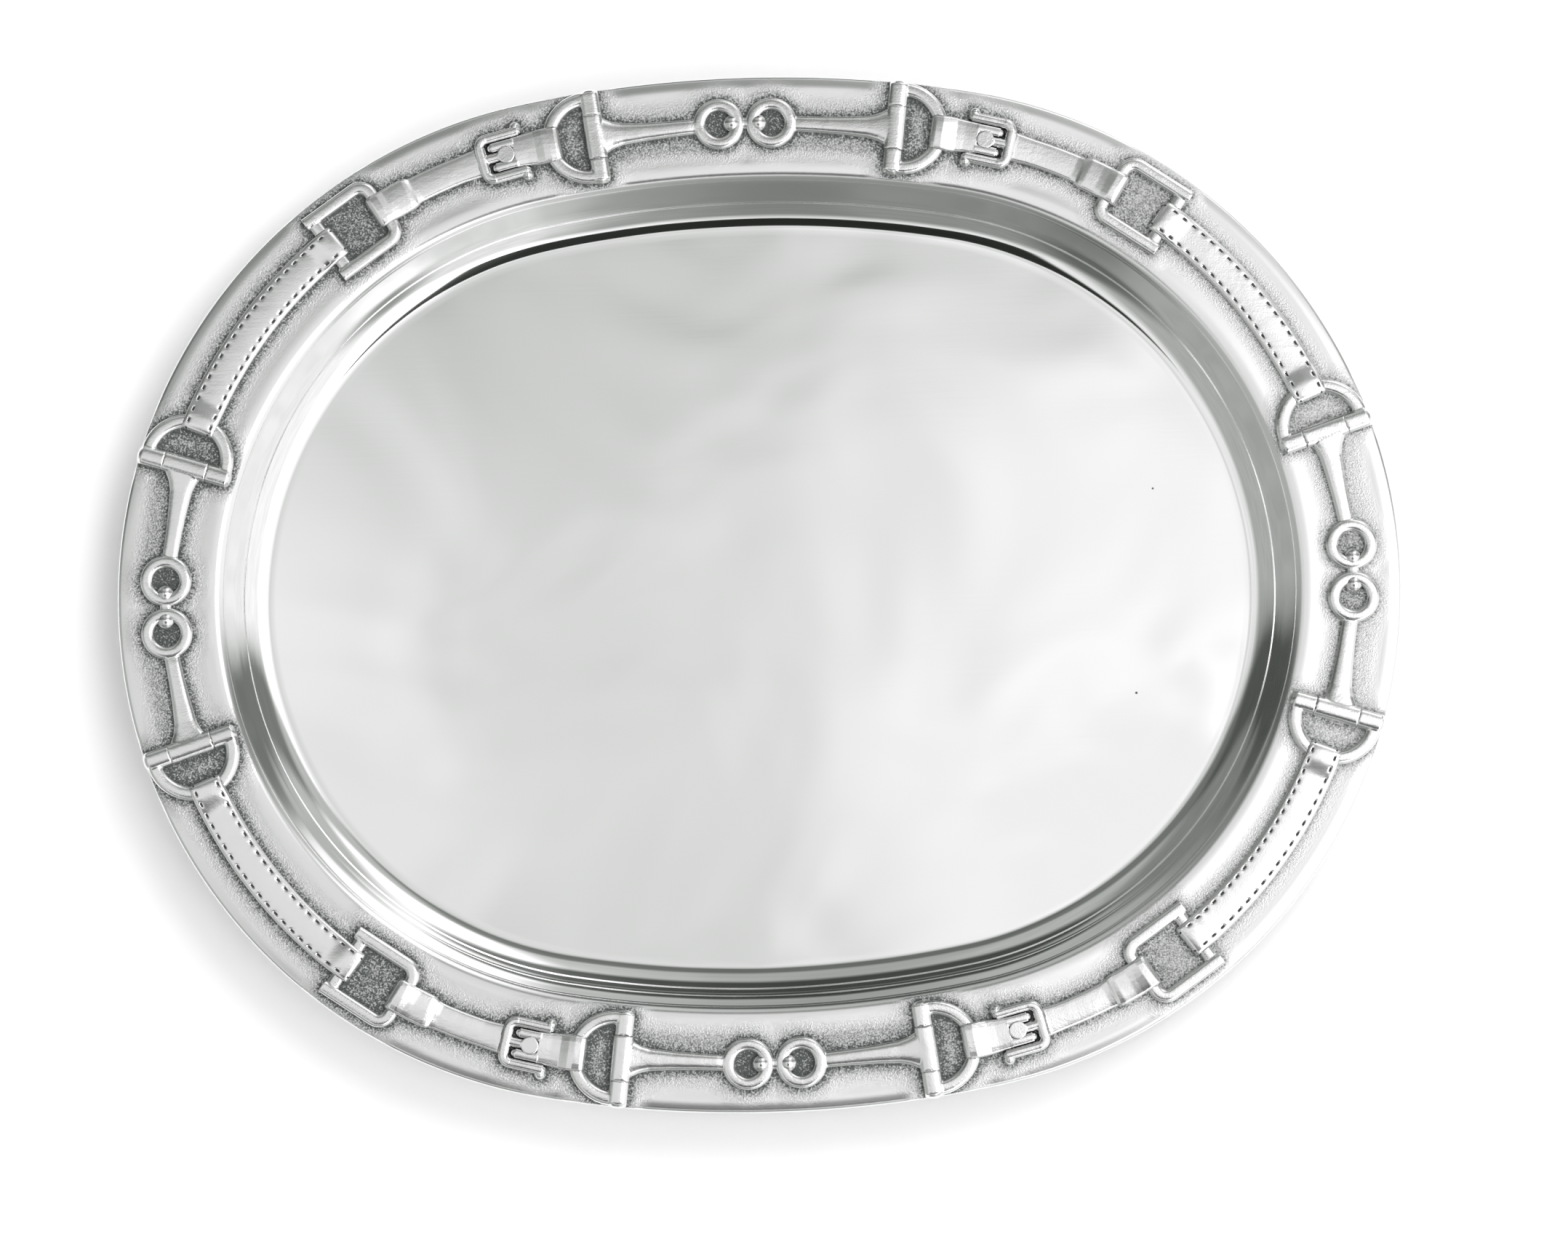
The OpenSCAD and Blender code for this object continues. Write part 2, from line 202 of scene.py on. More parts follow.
def mirrored(side):
    """Unit section from one side of it, given from the foot up, and a crown of height 1."""
    return [(-across, up) for across, up in side] + [(0, 1)] + side[::-1]


def loft(stations, section):
    """Extrudes a section through stations of (x, half width, height), scaling it as it goes."""
    x, wide, high = stations[0]
    piece = draw_section([(x, y * wide, z * high) for y, z in section], filled=True)
    for x_next, wide_next, high_next in stations[1:]:
        bpy.ops.mesh.extrude_region_move(
            TRANSFORM_OT_translate={"value": ((x_next - x) * MM, 0, 0)})
        bpy.ops.transform.resize(value=(1, wide_next / wide, high_next / high),
                                 center_override=(x_next * MM, 0, 0))
        x, wide, high = x_next, wide_next, high_next
    face_outwards(piece)
    return piece


def face_outwards(piece):
    """Recalculates normals outward; leaves the piece in object mode."""
    if piece.mode != "EDIT":
        only(piece)
        bpy.ops.object.mode_set(mode="EDIT")
    bpy.ops.mesh.select_all(action="SELECT")
    bpy.ops.mesh.normals_make_consistent(inside=False)
    bpy.ops.object.mode_set(mode="OBJECT")


def bar(a, b, width, height, frame_at=None, section=None):
    """Half-round bar from one point of the rim's plane to another."""
    a, b = Vector((*a, 0)), Vector((*b, 0))
    run = b - a
    piece = loft([(0, width / 2, height), (run.length, width / 2, height)],
                 section or half_round())
    turn = Matrix.Translation(a * MM) @ Matrix.Rotation(math.atan2(run.y, run.x), 4, "Z")
    return set_in_place(piece, (frame_at or Matrix.Identity(4)) @ turn)


def bend(centre, radius, start, end, width, height, section=None):
    """Half-round bar turned about a point of the rim's plane, from one angle to another."""
    degrees_a_step, fewest_steps = 9, 4
    piece = draw_section([(centre[0] + radius + y * width / 2, centre[1], z * height)
                          for y, z in section or half_round()], filled=True)
    pivot = Vector((*centre, 0)) * MM
    steps = max(fewest_steps, round(abs(end - start) / degrees_a_step))
    bpy.ops.mesh.spin(steps=steps, angle=-math.radians(end - start), center=pivot,
                      axis=(0, 0, 1))
    face_outwards(piece)
    turn = (Matrix.Translation(pivot) @ Matrix.Rotation(math.radians(start), 4, "Z")
            @ Matrix.Translation(-pivot))
    return set_in_place(piece, turn)


def knob(x, y, radius, height, long=1.0):
    """Rounded end or head standing on the rim."""
    bpy.ops.object.select_all(action="DESELECT")
    bpy.ops.mesh.primitive_uv_sphere_add(segments=24, ring_count=14, radius=MM,
                                         location=Vector((x, y, 0)) * MM)
    piece = bpy.context.object
    piece.scale = (radius * long, radius, height)
    bpy.ops.object.transform_apply(location=True, rotation=True, scale=True)
    return piece


def ring(radius, width, height):
    """Ring of the given outer radius, as two half turns."""
    middle = radius - width / 2
    return [bend((0, 0), middle, start, start + 180, width, height) for start in (0, 180)]


def join(parts):
    """One mesh object from several."""
    only(parts[0])
    for part in parts[1:]:
        part.select_set(True)
    if len(parts) > 1:
        bpy.ops.object.join()
    return parts[0]


def cast(parts, matrix=None, softening=5, voxel=VOXEL):
    """Melts parts into one soft casting and cuts it off just under the rim's surface."""
    piece = join(parts)
    apply_modifier(piece, "REMESH", mode="VOXEL", voxel_size=voxel * MM)
    apply_modifier(piece, "SMOOTH", factor=0.5, iterations=softening)
    bpy.ops.object.mode_set(mode="EDIT")
    bpy.ops.mesh.select_all(action="SELECT")
    bpy.ops.mesh.bisect(plane_co=(0, 0, -BURIED * MM), plane_no=(0, 0, 1), use_fill=True,
                        clear_inner=True)
    face_outwards(piece)
    bpy.ops.object.shade_smooth()
    if matrix:
        set_in_place(piece, matrix)
    return piece


def rim_line():
    """The middle line of the rim as a curve from station 0, for bending straps along it."""
    start = (END_CENTRE + END_MID, 0, 0)
    start_point(start)
    sweep_quarter(160, 40)
    bpy.ops.object.convert(target="CURVE")
    line = bpy.context.object
    first = line.data.splines[0].points[0].co.xyz
    if (first - Vector(start) * MM).length > MM:
        bpy.ops.object.mode_set(mode="EDIT")
        bpy.ops.curve.select_all(action="SELECT")
        bpy.ops.curve.switch_direction()
        bpy.ops.object.mode_set(mode="OBJECT")
    line.data.dimensions = "2D"
    return line


def along_rim(piece, line):
    """Bends a straight piece, whose X is its station, along the rim."""
    apply_modifier(piece, "CURVE", object=line, deform_axis="POS_X")
    return set_in_place(piece, Matrix.Translation((0, 0, RIM_TOP * MM)))


def twin(piece):
    """A copy of a piece, with its own mesh."""
    other = piece.copy()
    other.data = piece.data.copy()
    bpy.context.scene.collection.objects.link(other)
    return other


# ---------------------------------------------------------------- the casting
def swell(inward):
    """Height of the low crowns of the smooth bands beside the edge and beside the lip."""
    for start, top, end, height in CROWNS:
        if start < inward < top:
            return height * math.sin(math.pi / 2 * (inward - start) / (top - start)) ** 2
        if top <= inward < end:
            return height * math.cos(math.pi / 2 * (inward - top) / (end - top)) ** 2
    return 0


def fillet(inward, height, radius, start, end, steps):
    """Points of an arc in the section, as (distance in from the edge, height)."""
    turns = [math.radians(start + (end - start) * i / steps) for i in range(steps + 1)]
    return [(inward - radius * math.cos(a), height + radius * math.sin(a)) for a in turns]


def tray_section():
    """Half section of the casting, from the top of the floor out over the rim and back under."""
    sine, cosine = math.sin(math.radians(WALL_SLOPE)), math.cos(math.radians(WALL_SLOPE))
    rise = RIM_TOP - METAL - (LIP_RADIUS + COVE_RADIUS) * (1 - cosine)
    cove_in = RIM_WIDTH + (LIP_RADIUS + COVE_RADIUS) * sine + rise / sine * cosine
    cove_up = METAL + COVE_RADIUS
    under = RIM_TOP - METAL
    rim_steps = 32
    flat = [EDGE_TOP + (RIM_WIDTH - EDGE_TOP) * (1 - i / rim_steps) for i in range(1, rim_steps)]
    section = [(cove_in + FLOOR_MARGIN, METAL), (cove_in + FLOOR_MARGIN / 4, METAL)]
    section += fillet(cove_in, cove_up, COVE_RADIUS, -90, WALL_SLOPE - 90, 16)
    section += fillet(RIM_WIDTH, RIM_TOP - LIP_RADIUS, LIP_RADIUS, WALL_SLOPE + 90, 90, 8)
    section += [(d, RIM_TOP + swell(d)) for d in flat]
    section += fillet(EDGE_TOP, RIM_TOP - EDGE_TOP, EDGE_TOP, 90, 0, 5)
    section += fillet(EDGE_UNDER, under + EDGE_UNDER, EDGE_UNDER, 0, -90, 3)
    section += [(RIM_WIDTH * share, under) for share in (0.25, 0.5, 0.75)]
    section += fillet(RIM_WIDTH, RIM_TOP - LIP_RADIUS, LIP_RADIUS - METAL, 90, WALL_SLOPE + 90, 3)
    section += fillet(cove_in, cove_up, COVE_RADIUS + METAL, WALL_SLOPE - 90, -90, 7)
    section += [(cove_in + FLOOR_MARGIN, 0)]
    return section


def spin_quarter():
    """A quarter of the casting: its section turned along the oval."""
    piece = draw_section([(HALF_LENGTH - d, 0, z) for d, z in tray_section()])
    end_steps, side_steps = ((190, 60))
    sweep_quarter(end_steps, side_steps)
    return piece


def pick_open_loop(piece, height):
    """Selects the open edges that lie at a height; leaves the piece in edit mode."""
    bpy.ops.object.mode_set(mode="EDIT")
    bpy.ops.mesh.select_mode(type="EDGE")
    bpy.ops.mesh.select_all(action="DESELECT")
    bpy.ops.mesh.select_non_manifold(extend=False, use_wire=False, use_boundary=True,
                                     use_multi_face=False, use_non_contiguous=False,
                                     use_verts=False)
    bpy.ops.object.mode_set(mode="OBJECT")
    edges, vertices = piece.data.edges, piece.data.vertices
    for vertex in vertices:
        vertex.select = False
    for edge in edges:
        corners = [vertices[v] for v in edge.vertices]
        edge.select = edge.select and abs(corners[0].co.z - height * MM) <= 0.1 * MM
        if edge.select:
            for vertex in corners:
                vertex.select = True
    bpy.ops.object.mode_set(mode="EDIT")


def close_floor(piece):
    """Mirrors the quarter into the whole oval and draws its two open loops in to the middle."""
    apply_modifier(piece, "MIRROR", use_axis=(True, True, False), merge_threshold=0.01 * MM)
    even_rings = [1 - 1 / (FLOOR_RINGS + 1 - i) for i in range(FLOOR_RINGS)]
    for height, shrinks in ((METAL, even_rings), (0, [0.9])):
        pick_open_loop(piece, height)
        for shrink in shrinks:
            bpy.ops.mesh.extrude_region_move(TRANSFORM_OT_translate={"value": (0, 0, 0)})
            bpy.ops.transform.resize(value=(shrink, shrink, 1),
                                     center_override=(0, 0, height * MM))
        bpy.ops.mesh.edge_face_add()
        bpy.ops.mesh.select_mode(type="VERT")
        bpy.ops.object.mode_set(mode="OBJECT")
    face_outwards(piece)
    bpy.ops.object.shade_smooth()


# ---------------------------------------------------------------- the tack
def make_cannon(eye_s, bar_s):
    """Eye ring, tapered arm and the sleeve that wraps the dee's bar."""
    eye, sleeve = place(eye_s), place(bar_s)
    run = sleeve - eye
    length = run.length
    here = Matrix.Translation(eye * MM) @ Matrix.Rotation(math.atan2(run.y, run.x), 4, "Z")
    sleeve_here = here.inverted() @ rim_frame(bar_s)
    arm = loft([(6.6, 2.9, 2.0), (11, 2.95, 2.2), (18, 3.1, 2.3), (0.6 * length, 3.5, 2.4),
                (0.78 * length, 4.2, 2.5), (0.86 * length, 5.2, 2.6), (0.92 * length, 6.6, 2.7),
                (length, 8.0, 2.9)], half_round())
    return cast([*ring(EYE_RADIUS, 4.7, 2.3), arm,
                 bar((0, -SLEEVE / 2), (0, SLEEVE / 2), 7.4, 3.0, sleeve_here)], here)


def make_dee(s, way):
    """Half-round band with the bar that its two ends run into, past the rim's edge and lip."""
    set_in, wide, short = 2.4, DEE_BAND + 0.7, 2.5
    radius = DEE_REACH - set_in - DEE_BAND / 2
    edge_tip, lip_tip = 1.2 - MID, MID - 1.6
    bar_end = SLEEVE / 2 - 0.2
    piece = cast([
        bend((set_in, 0), radius, -90, 90, wide, BAND_HEIGHT),
        bar((0, -radius), (short, -radius), wide, BAND_HEIGHT),
        bar((0, radius), (short, radius), wide, BAND_HEIGHT),
        bar((0, edge_tip), (0, -bar_end), 7.2, 2.9),
        knob(0, edge_tip, 1.7, 2.8, long=2.1),
        bar((0, bar_end), (0, lip_tip), 6.8, 2.7),
        knob(0, lip_tip, 1.7, 2.6, long=2.0)])
    set_in_place(piece, rim_frame(s) @ Matrix.Diagonal((way, 1, 1, 1)))
    if way < 0:
        face_outwards(piece)
    return piece


def make_link(s):
    """Two rounded knobs in the eyes, joined by a neck."""
    return cast([
        loft([(-4.5, 2.6, 2.2), (0, 2.2, 2.0), (4.5, 2.6, 2.2)], half_round()),
        knob(-4.8, 0, 3.4, 3.0), knob(4.8, 0, 3.4, 3.0)], rim_frame(s), softening=3)


def make_keeper():
    """Loop with a low bar on its open side, where the narrow strap starts."""
    half, side, band = KEEPER_HALF, 11.3, 5.0
    near, far, turn = -half + 3.1, half - band / 2, 4.3
    parts = [bar((near, -side), (near, side), band, 2.2),
             bar((far, -side + turn), (far, side - turn), band, BAND_HEIGHT)]
    for way in (-1, 1):
        parts.append(bar((-half, way * side), (far - turn, way * side), band, BAND_HEIGHT))
    parts.append(bend((far - turn, side - turn), turn, 0, 90, band, BAND_HEIGHT))
    parts.append(bend((far - turn, turn - side), turn, -90, 0, band, BAND_HEIGHT))
    return cast(parts, rim_frame(KEEPER), softening=4)


def make_buckle():
    """Frame open towards the side dee, knobs on its arms, and a tongue with a round head."""
    side, bar_x, turn, wide, high = 7.4, -7.3, 2.9, 3.9, 2.75
    flat = half_round(fullness=3.4)
    parts = [bar((bar_x, turn - side), (bar_x, side - turn), 4.3, high, section=flat),
             bend((bar_x + turn, side - turn), turn, 90, 180, wide, high, flat),
             bend((bar_x + turn, turn - side), turn, 180, 270, wide, high, flat),
             bar((bar_x, 0), (0.5, 0), 3.8, 2.6, section=flat)]
    for way in (-1, 1):
        parts.append(bar((bar_x + turn, way * side), (7.6, way * side), wide, 2.7, section=flat))
        parts.append(knob(7.0, way * 8.9, 2.3, 2.7))
        parts.append(knob(7.4, way * side, 1.7, 2.7))
    bpy.ops.object.select_all(action="DESELECT")
    bpy.ops.mesh.primitive_cylinder_add(vertices=48, radius=3.15 * MM, depth=3.2 * MM,
                                        location=Vector((1.4, 0, 1.05)) * MM)
    head = bpy.context.object
    bpy.ops.object.transform_apply(location=True, rotation=False, scale=False)
    parts.append(head)
    return cast(parts, rim_frame(BUCKLE), softening=2, voxel=FINE_VOXEL)


def strap_section():
    """Unit section of a flat strap with a low crown and rounded edges."""
    return mirrored([(1, -0.5), (1, 0.3), (0.985, 0.62), (0.94, 0.82), (0.86, 0.92), (0.6, 0.97),
                     (0.3, 0.99)])


def make_narrow_strap(line):
    """Strap whose wider turned-back end wraps the keeper and whose other end meets the buckle."""
    start = KEEPER + KEEPER_HALF - 6.4
    loop = KEEPER + KEEPER_HALF
    piece = loft([(start - 0.1, 4.9, 0.8), (start + 0.25, 5.7, 2.2), (start + 0.9, 6.1, 3.1),
                  (start + 2, 6.15, 3.4), (loop - 2.0, 6.15, 3.4), (loop + 0.6, 6.15, 2.95),
                  (loop + 3, 6.15, 2.75), (loop + 8, 6.1, 2.65), (loop + 9.6, 5.8, 2.4),
                  (loop + 10.6, 5.2, 2.05), (loop + 12.6, 5.0, 1.9), (BUCKLE - 16, 4.9, 1.85),
                  (BUCKLE - 10, 5.2, 1.9), (BUCKLE - 7.4, 5.6, 2.0), (BUCKLE - 6.6, 5.4, 1.6)],
                 strap_section())
    return along_rim(cast([piece], softening=3), line)


def make_billet(line):
    """Strap end with two lobes beside the buckle's tongue, folded over the side dee."""
    ring_far = SIDE_BAR - DEE_REACH
    end = ring_far + DEE_BAND + FOLD_LAP
    lobe_x, lobe_y, lobe_radius = BUCKLE - 3.2, 3.7, 1.75
    parts = [loft([(BUCKLE + 4.2, 5.75, 2.35), (BUCKLE + 9, 6.0, 2.3), (ring_far - 3, 6.3, 2.35),
                   (ring_far, 6.5, 3.1), (ring_far + 2, 6.5, 3.4), (end - 1.8, 6.4, 3.35),
                   (end - 0.7, 6.3, 3.0), (end - 0.15, 5.8, 2.1), (end + 0.1, 5.2, 0.8)],
                  strap_section())]
    for way in (-1, 1):
        parts.append(knob(lobe_x, way * lobe_y, lobe_radius, 2.3))
        tab = loft([(lobe_x, lobe_radius, 2.3), (BUCKLE + 4.8, lobe_radius, 2.35)],
                   strap_section())
        parts.append(set_in_place(tab, Matrix.Translation((0, way * lobe_y * MM, 0))))
    return along_rim(cast(parts, softening=2, voxel=FINE_VOXEL), line)


def stitched_height(x):
    """Height of the stitched strap, which rises over the end dee and over the keeper."""
    low, high, slope = 2.3, 3.0, 7
    over_dee = 1 - min(max((x - (END_BAR + DEE_REACH) + 1) / slope, 0), 1)
    over_keeper = min(max((x - KEEPER_FROM + 6) / slope, 0), 1)
    lift = max(over_dee, over_keeper)
    return low + (high - low) * lift * lift * (3 - 2 * lift)


def sink_stitches(piece, dashes):
    """Presses the dashes into both rows and marks their hollows for painted shade."""
    only(piece)
    bpy.ops.object.mode_set(mode="EDIT")
    bpy.ops.mesh.select_mode(type="FACE")
    bpy.ops.mesh.select_all(action="DESELECT")
    bpy.ops.object.mode_set(mode="OBJECT")
    for face in piece.data.polygons:
        x, y = face.center.x / MM, abs(face.center.y) / MM
        if abs(y - STITCH_ROW) < 0.2 and face.normal.z > 0.5:
            face.select = any(abs(x - dash) < STITCH_LENGTH / 2 for dash in dashes)
    bpy.ops.object.mode_set(mode="EDIT")
    sink = (0, 0, -STITCH_DEPTH * MM)
    bpy.ops.mesh.extrude_region_move(TRANSFORM_OT_translate={"value": sink})
    bpy.ops.mesh.select_mode(type="VERT")
    bpy.ops.object.mode_set(mode="OBJECT")
    # Faces in the hollows take the second material, which paints shade into them.
    for face in piece.data.polygons:
        x, y, z = face.center.x / MM, abs(face.center.y) / MM, face.center.z / MM
        sunk = 0.5 < z < stitched_height(x) * 0.96 - 0.1
        if sunk and abs(y - STITCH_ROW) < 0.35 and abs(face.normal.x) < 0.9:
            face.material_index = 1


def make_stitched_strap(line):
    """Strap from the end dee to the keeper, folded over both, with two rows of sunk stitches."""
    start = END_BAR + DEE_REACH - DEE_BAND - FOLD_LAP
    end = KEEPER_FROM + KEEPER_BAR + FOLD_LAP
    first_stitch, last_stitch = start + 2.6, end - 1.6
    stations = [(start - 0.1, 5.3, 0.9), (start + 0.2, 5.9, 2.2), (start + 0.8, 6.25, 2.85)]
    dashes = []
    x = first_stitch
    while x + STITCH_LENGTH < last_stitch:
        dashes.append(x + STITCH_LENGTH / 2)
        stations += [(at, STRAP_HALF, stitched_height(at))
                     for at in (x, dashes[-1], x + STITCH_LENGTH,
                                x + (STITCH_PITCH + STITCH_LENGTH) / 2)]
        x += STITCH_PITCH
    stations += [(end - 0.8, 6.25, 2.85), (end - 0.2, 5.9, 2.2), (end + 0.1, 5.3, 0.9)]
    stations = [s for i, s in enumerate(stations) if i == 0 or s[0] - stations[i - 1][0] > 0.05]
    row, groove = STITCH_ROW / STRAP_HALF, 0.2 / STRAP_HALF
    piece = loft(stations, mirrored([
        (1, -0.5), (1, 0.3), (0.985, 0.62), (0.94, 0.82), (0.86, 0.92), (row + groove, 0.96),
        (row - groove, 0.965), (0.4, 0.985), (0.2, 0.995)]))
    sink_stitches(piece, dashes)
    apply_modifier(piece, "SUBSURF", levels=1, render_levels=1)
    bpy.ops.object.shade_smooth()
    return along_rim(piece, line)


# ---------------------------------------------------------------- where painted shade gathers
def hemisphere(rings, around):
    """Directions spread over a hemisphere about Z."""
    found = []
    for i in range(rings):
        tilt = math.pi / 2 * (i + 0.6) / rings
        for j in range(around):
            turn = 2 * math.pi * (j + 0.5 * (i % 2)) / around
            found.append(Vector((math.sin(tilt) * math.cos(turn),
                                 math.sin(tilt) * math.sin(turn), math.cos(tilt))))
    return found


def tree_of(pieces, with_rim=False):
    """Search tree of several pieces, with a flat for the rim's surface if asked."""
    points, faces = [], []
    for piece in pieces:
        first = len(points)
        points += [v.co.copy() for v in piece.data.vertices]
        faces += [tuple(first + v for v in p.vertices) for p in piece.data.polygons]
    if with_rim:
        first = len(points)
        reach = 2 * HALF_LENGTH
        points += [Vector((x * reach, y * reach, RIM_TOP)) * MM
                   for x, y in ((-1, -1), (1, -1), (1, 1), (-1, 1))]
        faces.append((first, first + 1, first + 2, first + 3))
    return BVHTree.FromPolygons(points, faces)


def paint(piece, name, shade):
    """Stores a shade for each vertex, from its place and normal, as an attribute."""
    layer = piece.data.attributes.new(name, "FLOAT", "POINT")
    layer.data.foreach_set("value", [shade(v.co, v.normal) for v in piece.data.vertices])


def crevice_shade(tree, directions, reach):
    """How much of the sky over a point is hidden by metal within reach."""
    def shade(point, normal):
        basis = normal.to_track_quat("Z", "Y").to_matrix()
        start = point + normal * 0.06 * MM
        hidden = 0
        for direction in directions:
            distance = tree.ray_cast(start, basis @ direction, reach)[3]
            if distance is not None:
                hidden += 1 - distance / reach
        return hidden / len(directions)
    return shade


def ground_shade(tree, around, reach):
    """How closely the tack stands round a point of the rim's surface, and shuts it in."""
    look_from = (RIM_TOP + 0.75) * MM
    turns = [2 * math.pi * i / around for i in range(around)]
    directions = [Vector((math.cos(a), math.sin(a), 0)) for a in turns]

    def shade(point, normal):
        if point.z < (RIM_TOP - 0.3) * MM or normal.z < 0.7:
            return 0
        start = Vector((point.x, point.y, look_from))
        met = [tree.ray_cast(start, direction, reach)[3] for direction in directions]
        met = [distance for distance in met if distance is not None]
        if not met:
            return 0
        beside = math.exp(-tree.find_nearest(start)[3] / (2.4 * MM))
        crowd = sum(math.exp(-distance / (8 * MM)) for distance in met) / around
        shut_in = max(0, len(met) / around - 0.6) / 0.4
        return 0.65 * beside + 0.85 * crowd + 0.2 * shut_in
    return shade


# ---------------------------------------------------------------- finishes
FLOAT, COLOUR, VECTOR = "NodeSocketFloat", "NodeSocketColor", "NodeSocketVector"


def connect(tree, node, inputs):
    """Links a node's inputs to sockets, or sets them to values."""
    for key, value in inputs.items():
        if isinstance(value, bpy.types.NodeSocket):
            tree.links.new(value, node.inputs[key])
        else:
            node.inputs[key].default_value = value


def add_node(tree, kind, inputs, **settings):
    """Adds a node, sets it up and connects it."""
    node = tree.nodes.new(kind)
    for key, value in settings.items():
        setattr(node, key, value)
    connect(tree, node, inputs)
    return node


def maths(tree, operation, *terms):
    """One step of arithmetic on sockets or values."""
    return add_node(tree, "ShaderNodeMath", dict(enumerate(terms)),
                    operation=operation).outputs[0]


def remap(tree, value, start, end, low, high, kind="LINEAR"):
    """Carries a value from the span start to end over to the span low to high."""
    return add_node(tree, "ShaderNodeMapRange",
                    {"Value": value, "From Min": start, "From Max": end, "To Min": low,
                     "To Max": high}, interpolation_type=kind).outputs[0]


def noise(tree, where, scale, detail, **shape):
    """Cloudy noise, with roughness and distortion where given."""
    inputs = {"Vector": where, "Scale": scale, "Detail": detail}
    inputs.update({key.title(): value for key, value in shape.items()})
    return add_node(tree, "ShaderNodeTexNoise", inputs).outputs["Fac"]


def blend(tree, amount, colour, other):
    """Mixes from one colour to the other as the amount goes from 0 to 1."""
    return add_node(tree, "ShaderNodeMix", {0: amount, 6: colour, 7: other},
                    data_type="RGBA").outputs[2]


def colour_of(tree, red, green, blue):
    return add_node(tree, "ShaderNodeCombineColor", {0: red, 1: green, 2: blue}).outputs[0]


def bump(tree, height, strength, distance, **normal):
    """Normal bent by a height; a bump to build on may be given as Normal."""
    return add_node(tree, "ShaderNodeBump", {"Height": height, "Strength": strength,
                                             "Distance": distance, **normal}).outputs[0]


def attribute(tree, name):
    return add_node(tree, "ShaderNodeAttribute", {}, attribute_name=name).outputs["Fac"]


def use_group(tree, group, inputs):
    return add_node(tree, "ShaderNodeGroup", inputs, node_tree=group).outputs


def group_tree(name, inputs, outputs):
    """A shader node group with named sockets; returns the tree, its inputs and its output node."""
    tree = bpy.data.node_groups.new(name, "ShaderNodeTree")
    for way, sockets in (("INPUT", inputs), ("OUTPUT", outputs)):
        for label, kind in sockets.items():
            tree.interface.new_socket(name=label, in_out=way, socket_type=kind)
    return tree, tree.nodes.new("NodeGroupInput").outputs, tree.nodes.new("NodeGroupOutput")


def sand_group():
    """Grains left by the sand mould: a height, and a speckle that breaks up the painted shade."""
    tree, given, out = group_tree("sand grain", {"Vector": VECTOR, "Grain": FLOAT},
                                  {"Height": FLOAT, "Speckle": FLOAT})
    fine = noise(tree, given["Vector"], given["Grain"], 3.0, roughness=0.6)
    coarse = add_node(tree, "ShaderNodeTexVoronoi", {"Vector": given["Vector"],
                                                     "Scale": given["Grain"]})
    dents = maths(tree, "MULTIPLY", coarse.outputs["Distance"], 0.5)
    connect(tree, out, {"Height": maths(tree, "ADD", fine, dents),
                        "Speckle": remap(tree, fine, 0.36, 0.64, 0.0, 1.0)})
    return tree


def polish_group():
    """Slow unevenness left by hand polishing, with faint rubbed streaks."""
    tree, given, out = group_tree("hand polish",
                                  {"Vector": VECTOR, "Scale": FLOAT, "Streaks": FLOAT},
                                  {"Height": FLOAT})
    slow = noise(tree, given["Vector"], given["Scale"], 2.0, roughness=0.45, distortion=0.4)
    stretched = add_node(tree, "ShaderNodeMapping", {"Vector": given["Vector"],
                                                     "Scale": (40.0, 700.0, 40.0),
                                                     "Rotation": (0.0, 0.0, 0.3)})
    rubbed = noise(tree, stretched.outputs[0], 1.0, 2.0)
    lift = maths(tree, "MULTIPLY", rubbed, given["Streaks"])
    connect(tree, out, {"Height": maths(tree, "ADD", slow, lift)})
    return tree


def painted_shade_group():
    """Painted shade where the metal is hidden, broken up by the speckle of the ground."""
    tree, given, out = group_tree("painted shade",
                                  {"Hidden": FLOAT, "Speckle": FLOAT, "Start": FLOAT,
                                   "Full": FLOAT, "Bright": COLOUR, "Dark": COLOUR},
                                  {"Colour": COLOUR, "Amount": FLOAT})
    spread = remap(tree, given["Speckle"], 0.0, 1.0, 0.45, 1.55)
    broken = maths(tree, "MULTIPLY", given["Hidden"], spread)
    amount = remap(tree, broken, given["Start"], given["Full"], 0.0, 1.0, "SMOOTHSTEP")
    connect(tree, out, {"Colour": blend(tree, amount, given["Bright"], given["Dark"]),
                        "Amount": amount})
    return tree


# The third group paints shade where the metal is hidden from the sky.
SAND, POLISH, PAINTED_SHADE = sand_group(), polish_group(), painted_shade_group()


def new_finish(name):
    """A material with an empty metal shader; returns it with its tree, shader and coordinates."""
    material = bpy.data.materials.new(name)
    material.use_nodes = True
    tree = material.node_tree
    shader = tree.nodes["Principled BSDF"]
    shader.inputs["Metallic"].default_value = 1.0
    coordinates = tree.nodes.new("ShaderNodeTexCoord").outputs["Object"]
    return material, tree, shader, coordinates


def relief_finish(name, bright, rough, grain_depth):
    """Buffed cast aluminium, with painted shade darkening its crevices."""
    material, tree, shader, where = new_finish(name)
    sand = use_group(tree, SAND, {"Vector": where, "Grain": 1500.0})
    polish = use_group(tree, POLISH, {"Vector": where, "Scale": 90.0, "Streaks": 0.12})
    # Painted shade: the crevice attribute blends the colour to Dark where nearby metal hides the
    # sky.
    painted_shade = use_group(tree, PAINTED_SHADE, {"Hidden": attribute(tree, "crevice"),
                                      "Speckle": sand["Speckle"], "Start": 0.2, "Full": 0.52,
                                      "Bright": (*bright, 1), "Dark": (0.06, 0.066, 0.063, 1)})
    slow = bump(tree, polish["Height"], 0.5, 0.25 * MM)
    connect(tree, shader, {
        "Base Color": painted_shade["Colour"],
        "Roughness": remap(tree, painted_shade["Amount"], 0.0, 1.0, rough, 0.7),
        "Normal": bump(tree, sand["Height"], grain_depth, 0.06 * MM, Normal=slow)})
    return material


